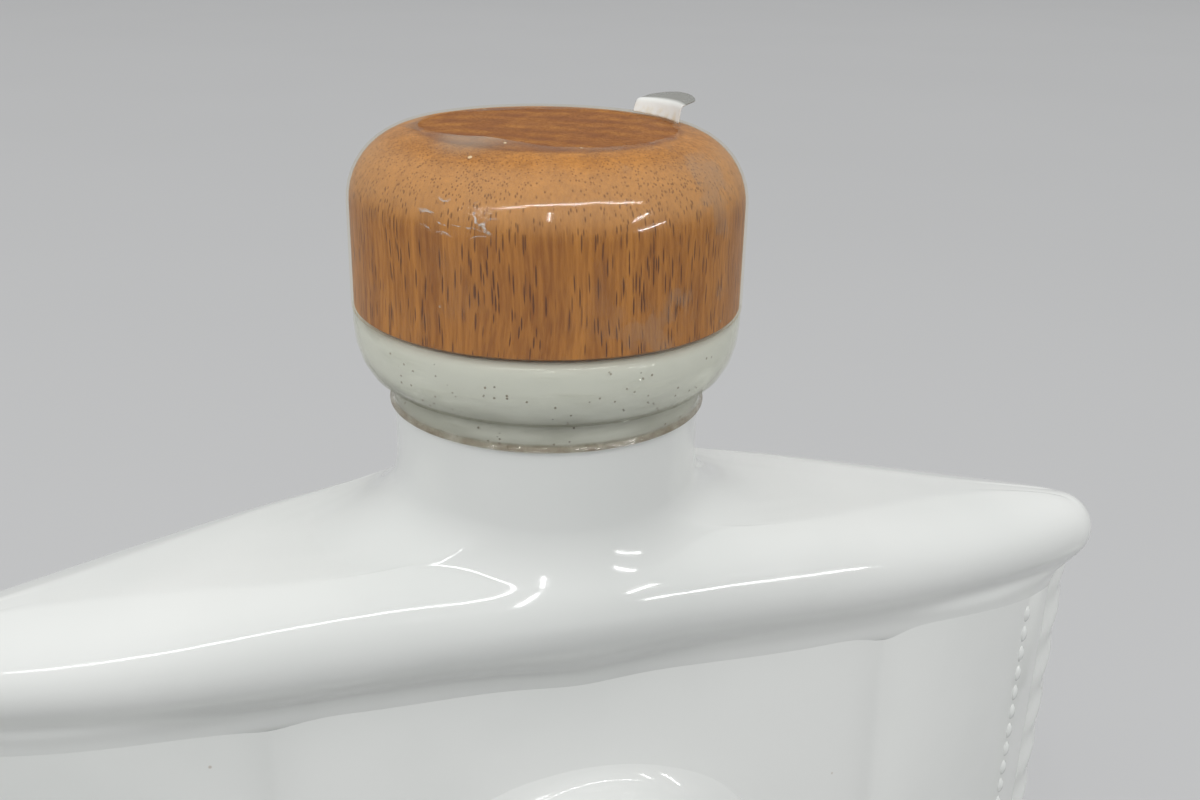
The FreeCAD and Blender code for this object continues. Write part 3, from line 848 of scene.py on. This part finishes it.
# Painted sheen: the shoulder is painted a lighter tan, strongest low on the shoulder and fading towards
# the top.
painted_sheen = height.between(0.2045, 0.2072) * (height.between(0.2107, 0.2088) * 0.65 + 0.35)
painted_sheen = painted_sheen * away.between(top_in, top_out)
colour = streak.mix((painted_sheen * 0.45).mix(colour, wood_painted_sheen), wood_red)
colour = (pore * fade).mix(colour, wood_pore)
relief = {"Strength": 0.4, "Distance": 0.00012, "Height": fibre * 0.3 - pore}
bump = place.node("Bump", {}, relief, "Normal")
shine = {"Base Color": colour, "Roughness": fibre * 0.2 + 0.42, "Normal": bump}
shader = place.node("BsdfPrincipled", {}, {**shine, "Specular IOR Level": 0.15})
place.node("OutputMaterial", {}, {"Surface": shader})


def shoulder(radius, top, edge, steps):
    """Points of a rounded top edge, from the upright side to the flat top."""
    return [(radius - edge + edge * cos, top - edge + edge * sin) for sin, cos in quarter_round(steps)]


bm = bmesh.new()
outline = [(0.0, knob_hole_z), (dowel_hole_radius, knob_hole_z), (dowel_hole_radius, knob_low.z)]
outline += [(knob_radius - knob_foot_round, knob_low.z), (knob_radius, knob_low.z + knob_foot_round)]
outline += shoulder(knob_radius, knob_high.z, knob_edge, knob_steps)
outline += [(knob_radius - knob_edge - knob_top_hold, knob_high.z), (0.0, knob_high.z)]
turn(bm, outline, knob_sides)
knob = piece("turned_knob", bm, knob_finish, crisp=knob_crisp)
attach(knob, "stopper")
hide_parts("wood_knob")

# Knob film: clear shrink film drawn tight over the knob's side and shoulder, with a torn hole in
# the middle of the top. It shows small wrinkles, air patches and specks of dust, and a patch of
# crinkles whose folds are painted near-white as painted glints.
film_low, film_high = span("film_cap")
film_gap = 0.05
film_thick = 0.2
film_torn_thick = 0.03
film_opening = 11.0
film_torn_waves = ((2, 0.9, 2.1), (3, 0.5, -0.6), (9, 0.22, 0.0), (17, 0.12, 1.0))
film_lift = 0.5
film_lift_angle = math.radians(221)
film_lift_reach = 2.6
film_lift_narrow = 6
film_sides = 160
film_haze = (0.52, 0.47, 0.39, 1)
film_painted_glint = (0.95, 0.94, 0.90, 1)
film_dust = (0.80, 0.62, 0.36, 1)
film_tint = (0.99, 0.97, 0.92, 1)
film_gloss = 0.03
film_slant_gloss = 0.14
film_slant_power = 4


def torn(angle):
    """Radius of the film's torn opening round the knob's top."""
    waves = [swing * math.sin(count * angle + start) for count, swing, start in film_torn_waves]
    return film_opening + sum(waves)


def film_shader(place, tint, gloss, bump, haze_with_painted_light, milk_colour_with_painted_light):
    """Clear film: see-through face on, glossy at a slant, and milky where its mix factor says so; that
    milky layer also carries painted glints and painted shade.
    """
    facing = place.node("LayerWeight", {}, {"Blend": 0.5, "Normal": bump}, "Facing")
    gleam = {"Base Color": (1, 1, 1, 1), "Metallic": 1.0, "Roughness": 0.09, "Normal": bump}
    gleam = place.node("BsdfPrincipled", {}, gleam)
    clear = place.node("BsdfTransparent", {}, {"Color": tint})
    slant = facing ** film_slant_power * film_slant_gloss
    film = place.node("MixShader", {}, {0: slant + gloss, 1: clear, 2: gleam})
    milk_with_painted_light = place.node("BsdfPrincipled", {}, {"Base Color": milk_colour_with_painted_light, "Roughness": 0.35})
    both = place.node("MixShader", {}, {0: haze_with_painted_light, 1: film, 2: milk_with_painted_light})
    place.node("OutputMaterial", {}, {"Surface": both})


film_finish, place = new_finish("clear_shrink_film")
air = place.node("TexNoise", {}, {"Vector": place, "Scale": 130.0, "Detail": 5.0, "Roughness": 0.65})
dust = place.node("TexVoronoi", {}, {"Vector": place, "Scale": 330.0}, "Distance")
chance = place.node("SeparateColor", {}, {"Color": dust.other("Color")}, "Red")
mote = dust.between(0.08, 0.05) * chance.between(0.8, 0.82)
across = place.node("SeparateXYZ", {}, {"Vector": place}, "X")
lift_spot = {0: place, 1: (-0.0082, -0.0071, 0.211)}
lifted = place.node("VectorMath", {"operation": "DISTANCE"}, lift_spot, "Value")
crinkle_spot = {0: place, 1: (-0.0111, -0.0138, 0.2061)}
crinkled = place.node("VectorMath", {"operation": "DISTANCE"}, crinkle_spot, "Value")
height = across.other("Z")
drawn = place.node("Mapping", {}, {"Vector": place, "Scale": (1.0, 1.0, 1.8)})
crease = place.node("TexNoise", {}, {"Vector": drawn, "Scale": 420.0, "Detail": 1.0})
ripple = place.node("TexNoise", {}, {"Vector": place, "Scale": 150.0, "Detail": 2.0})
crinkle = place.node("TexNoise", {}, {"Vector": place, "Scale": 900.0, "Detail": 4.0, "Roughness": 0.65})
loose = crinkled.between(0.0044, 0.002) * height.between(0.2048, 0.2055) * height.between(0.2080, 0.2073)
# Painted glint: thin folds in the crinkle patch on the front of the shoulder are painted near-white, and
# made a little glossier.
folds_and_painted_glint = crease.between(0.47, 0.5) * crease.between(0.53, 0.5) * crinkle.between(0.42, 0.56) * loose
relief = {"Strength": 0.25, "Distance": 0.0006, "Height": ripple + crinkle * loose * 0.8}
bump = place.node("Bump", {}, relief, "Normal")
patch = air.between(0.53, 0.6) * across.between(-0.002, 0.005) * 0.06 + air.between(0.5, 0.7) * 0.025
stretched = height.between(0.2045, 0.2075) * height.between(0.2106, 0.2095)
patch = patch + lifted.between(0.0042, 0.001) * 0.2 + stretched * 0.05
colour = folds_and_painted_glint.mix(mote.mix(film_haze, film_dust), film_painted_glint)
haze_with_painted_light = patch.most(mote * 0.8).most(folds_and_painted_glint * 0.6)
film_shader(place, film_tint, folds_and_painted_glint * 0.3 + film_gloss, bump, haze_with_painted_light, colour)

bm = bmesh.new()
outer = [(knob_radius + film_gap + film_thick, film_low.z)]
outer += shoulder(outer[0][0], film_high.z, knob_edge + film_gap + film_thick, knob_steps)
inner = [(knob_radius + film_gap, film_low.z)]
inner += shoulder(inner[0][0], film_high.z - film_thick, knob_edge + film_gap, knob_steps)
inner.append((film_opening, film_high.z - film_thick))
outer.append((film_opening, film_high.z - film_thick + film_torn_thick))
turn(bm, outer + inner[::-1] + outer[:1], film_sides)
film_edge = knob_radius - knob_edge
for vert in bm.verts:
    radius = math.hypot(vert.co.x, vert.co.y)
    angle = math.atan2(vert.co.y, vert.co.x)
    slack = max(1 - max(radius - film_edge, 0) / film_lift_reach, 0) ** 2
    vert.co.z += film_lift * slack * max(math.cos(angle - film_lift_angle), 0) ** film_lift_narrow
    if radius < (film_opening + film_edge) / 2:
        vert.co.xy *= torn(angle) / radius
cap = piece("knob_film", bm, film_finish, crisp=knob_crisp)
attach(cap, "stopper")
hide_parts("film_cap")

# Pull tab: the stub of the tear strip, an upright curl of white film on the cap's torn edge, with
# a clear flap folded outwards from its top.
tab_white = (0.82, 0.83, 0.80, 1)
tab_stain = (0.72, 0.66, 0.50, 1)
tab_flap = (0.33, 0.335, 0.31, 1)
tab_tint = (0.9, 0.9, 0.88, 1)
tab_radius = 11.9
tab_angle = math.radians(14)
tab_sweep = math.radians(39)
tab_thick = 0.16
tab_cells = 9
tab_grid_half = 0.5
tab_fold_share = 0.55
tab_sink = 0.15
tab_stand = (1.3, -0.4)
tab_lean = (0.4, 0.4)
tab_reach = (1.5, 0.9)
tab_flap_rise = 0.95
tab_flap_arch = 2.0
tab_flap_peak = -0.12
tab_tip_swing = 0.08

tab_finish, place = new_finish("tear_strip")
height = place.node("SeparateXYZ", {}, {"Vector": place}, "Z")
stain = place.node("TexNoise", {}, {"Vector": place, "Scale": 700.0, "Detail": 4.0})
colour = (stain.between(0.4, 0.7) * height.between(0.2122, 0.2110)).mix(tab_white, tab_stain)
bump = place.node("Bump", {}, {"Strength": 0.3, "Distance": 0.0002, "Height": stain}, "Normal")
shader = place.node("BsdfPrincipled", {}, {"Base Color": colour, "Roughness": 0.35, "Normal": bump})
flap = place.node("Attribute", {"attribute_name": "flap"}, {}, "Fac")
clear = place.node("BsdfTransparent", {}, {"Color": tab_tint})
gleam = place.node("BsdfPrincipled", {}, {"Base Color": tab_flap, "Roughness": 0.2, "Normal": bump})
film = place.node("MixShader", {}, {0: 0.65, 1: clear, 2: gleam})
both = place.node("MixShader", {}, {0: flap.between(0.1, 0.35), 1: shader, 2: film})
place.node("OutputMaterial", {}, {"Surface": both})

bm = bmesh.new()
bmesh.ops.create_grid(bm, x_segments=tab_cells, y_segments=tab_cells, size=tab_grid_half)
flap_layer = bm.verts.layers.float.new("flap")
for vert in bm.verts:
    across, rise = vert.co.x, vert.co.y + tab_grid_half
    up = min(rise / tab_fold_share, 1)
    fold = max(rise - tab_fold_share, 0) / (1 - tab_fold_share)
    vert[flap_layer] = fold
    arch = tab_flap_rise - tab_flap_arch * (across - tab_flap_peak) ** 2
    stand = (tab_stand[0] + tab_stand[1] * across) * up + arch * fold
    out = tab_radius + (tab_lean[0] + tab_lean[1] * across) * up
    out += (tab_reach[0] + tab_reach[1] * across) * fold
    swing = tab_angle + tab_sweep * across - tab_tip_swing * fold * (tab_grid_half - across)
    vert.co = (out * math.cos(swing), out * math.sin(swing), film_high.z - tab_sink + stand)
bmesh.ops.recalc_face_normals(bm, faces=bm.faces)
bmesh.ops.solidify(bm, geom=bm.faces[:], thickness=tab_thick)
tab = piece("tear_tab", bm, tab_finish, levels=1)
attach(tab, "stopper")
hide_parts("pull_tab")

# Lip film: the lower part of the shrink film, yellowed, drawn round the lip and the ring below it.
# It is wrinkled along its lower edge, where a line of brown dirt has settled. Shade is painted into
# it below the lip's bowl and along its top edge.
skirt_low, skirt_high = span("film_skirt")
skirt_gap = 0.08
skirt_thick = 0.15
skirt_flare = 0.2
skirt_sides = 160
skirt_haze = (0.80, 0.81, 0.70, 1)
skirt_painted_shade = (0.20, 0.19, 0.115, 1)
skirt_tan = (0.30, 0.25, 0.16, 1)
skirt_dirt = (0.15, 0.085, 0.035, 1)
skirt_tint = (0.985, 0.985, 0.955, 1)
skirt_gloss = 0.06

skirt_finish, place = new_finish("yellowed_shrink_film")
height = place.node("SeparateXYZ", {}, {"Vector": place}, "Z")
grime = place.node("TexNoise", {}, {"Vector": place, "Scale": 420.0, "Detail": 6.0, "Roughness": 0.7})
foot = skirt_low.z * mm
head = skirt_high.z * mm
# Painted shade: a dark olive-grey is painted where the lip's bowl turns under and along the film's top
# edge beside the knob.
under = height.between(head - 0.0034, head - 0.0056)
painted_shade = under.most(height.between(head - 0.0011, head) * 0.9)
band = height.between(foot + 0.0009, foot + 0.0004)
line = height.between(foot + 0.0003, foot + 0.0001) * grime.between(0.4, 0.6) * 0.6
dots = place.node("TexVoronoi", {}, {"Vector": place, "Scale": 1350.0}, "Distance")
chance = place.node("SeparateColor", {}, {"Color": dots.other("Color")}, "Red")
patch = place.node("TexNoise", {}, {"Vector": place, "Scale": 150.0, "Detail": 1.0})
dot = dots.between(0.2, 0.1) * (chance + patch.between(0.4, 0.62) * 0.6).between(1.06, 1.12)
dirt = line.most(dot * height.between(0.1955, 0.1935))
creased = place.node("Mapping", {}, {"Vector": place, "Scale": (1.0, 1.0, 5.0)})
ripple = place.node("TexNoise", {}, {"Vector": creased, "Scale": 110.0, "Detail": 3.0})
bump = place.node("Bump", {}, {"Strength": 0.7, "Distance": 0.0009, "Height": ripple}, "Normal")
stained = band * (grime.between(0.3, 0.7) * 0.3 + 0.25)
haze_with_painted_light = (ripple.between(0.5, 0.75) * 0.12 + 0.05).most(painted_shade * (ripple.between(0.35, 0.65) * 0.1 + 0.06))
haze_with_painted_light = haze_with_painted_light.most(stained).most(dirt * 0.7)
colour = dirt.mix(band.mix(painted_shade.mix(skirt_haze, skirt_painted_shade), skirt_tan), skirt_dirt)
film_shader(place, skirt_tint, skirt_gloss, bump, haze_with_painted_light, colour)

bm = bmesh.new()
stops = [(neck_radius + skirt_flare, skirt_low.z)] + lip_stops + [(lip_radius, skirt_high.z)]
outer = [(radius + skirt_gap + skirt_thick, z) for radius, z in stops]
inner = [(radius + skirt_gap, z) for radius, z in stops]
turn(bm, outer + inner[::-1] + outer[:1], skirt_sides)
skirt = piece("lip_film", bm, skirt_finish, crisp=knob_crisp)
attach(skirt, "film_ring")
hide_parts("film_skirt")

# Studio: a plain floor and world that show paler than the light they give, a broad soft lamp overhead
# and a soft panel at the side, slim and small lamps for the fine highlights of glaze and film, and the
# camera close above the shoulder.
floor_grey = (0.55, 0.555, 0.56, 1)
floor_shade = (0.53, 0.535, 0.54, 1)
floor_bounce = (0.2, 0.202, 0.205, 1)
floor_half = 4000.0
room_light = 0.14
room_seen = 0.42
camera_place = Vector((-0.02856, -0.10902, 0.22968))
camera_aim = Vector((0.27578, 0.88760, -0.36894))
camera_roll = math.radians(1.35)
camera_lens = 37.9
camera_near = 0.001
lamp_aim = Vector((0, 0, 0.19))


def seen(wire):
    """One for what the camera sees, mirrored or through film too, and none for light that bounces."""
    path = wire.node("LightPath", {}, {}, "Is Camera Ray")
    return path.most(path.other("Is Glossy Ray")).most(path.other("Is Transmission Ray"))


floor_finish, place = new_finish("pale_floor")
tone = place.node("TexNoise", {}, {"Vector": place, "Scale": 3.0, "Detail": 2.0})
colour = seen(place).mix(floor_bounce, tone.mix(floor_grey, floor_shade))
shader = place.node("BsdfPrincipled", {}, {"Base Color": colour, "Roughness": 0.8})
place.node("OutputMaterial", {}, {"Surface": shader})
bm = bmesh.new()
bmesh.ops.create_grid(bm, x_segments=1, y_segments=1, size=floor_half)
floor = piece("floor", bm, floor_finish)

world = bpy.data.worlds.new("pale_room")
bpy.context.scene.world = world
world.use_nodes = True
world.node_tree.nodes.clear()
sky = Wire(world.node_tree, None)
strength = seen(sky) * (room_seen - room_light) + room_light
room = sky.node("Background", {}, {"Color": (1, 1, 1, 1), "Strength": strength})
sky.node("OutputWorld", {}, {"Surface": room})


def lamp(name, place, size, power, along=(1, 0, 0), mirrored=True):
    """A lamp aimed at the neck, its first side along a direction, that the glaze may mirror or not."""
    light = bpy.data.lights.new(name, "AREA")
    light.shape = "RECTANGLE"
    light.size, light.size_y = size
    light.energy = power
    made = bpy.data.objects.new(name, light)
    made.location = place
    back = (Vector(place) - lamp_aim).normalized()
    up = back.cross(Vector(along)).normalized()
    made.rotation_euler = Matrix((up.cross(back), up, back)).transposed().to_euler()
    made.visible_camera = False
    made.visible_glossy = mirrored
    bpy.context.scene.collection.objects.link(made)


lamp("ceiling", (0, 0, 1.6), (10.0, 10.0), 232.0, mirrored=False)
lamp("side_panel", (-1.5, -0.55, 0.95), (1.8, 1.5), 7.0, (0, 1, 0), mirrored=False)
lamp("tube", (-0.05, -0.47, 0.71), (1.25, 0.02), 1.4)
lamp("small_upright", (-0.125, -0.515, 0.495), (0.12, 0.018), 0.13, (-0.23, -0.40, -0.89))
lamp("small_strip_high", (0.370, -0.448, 0.393), (0.15, 0.012), 0.15, (0.55, 0.68, 0.49))
lamp("small_strip_low", (0.417, -0.440, 0.259), (0.18, 0.012), 0.17, (0.65, 0.67, 0.36))

lens = bpy.data.cameras.new("view")
lens.lens = camera_lens
lens.clip_start = camera_near
camera = bpy.data.objects.new("view", lens)
camera.location = camera_place
camera.rotation_mode = "QUATERNION"
camera.rotation_quaternion = camera_aim.to_track_quat("-Z", "Y") @ Quaternion((0, 0, 1), camera_roll)
bpy.context.scene.collection.objects.link(camera)
bpy.context.scene.camera = camera
bpy.context.scene.view_settings.view_transform = "Standard"
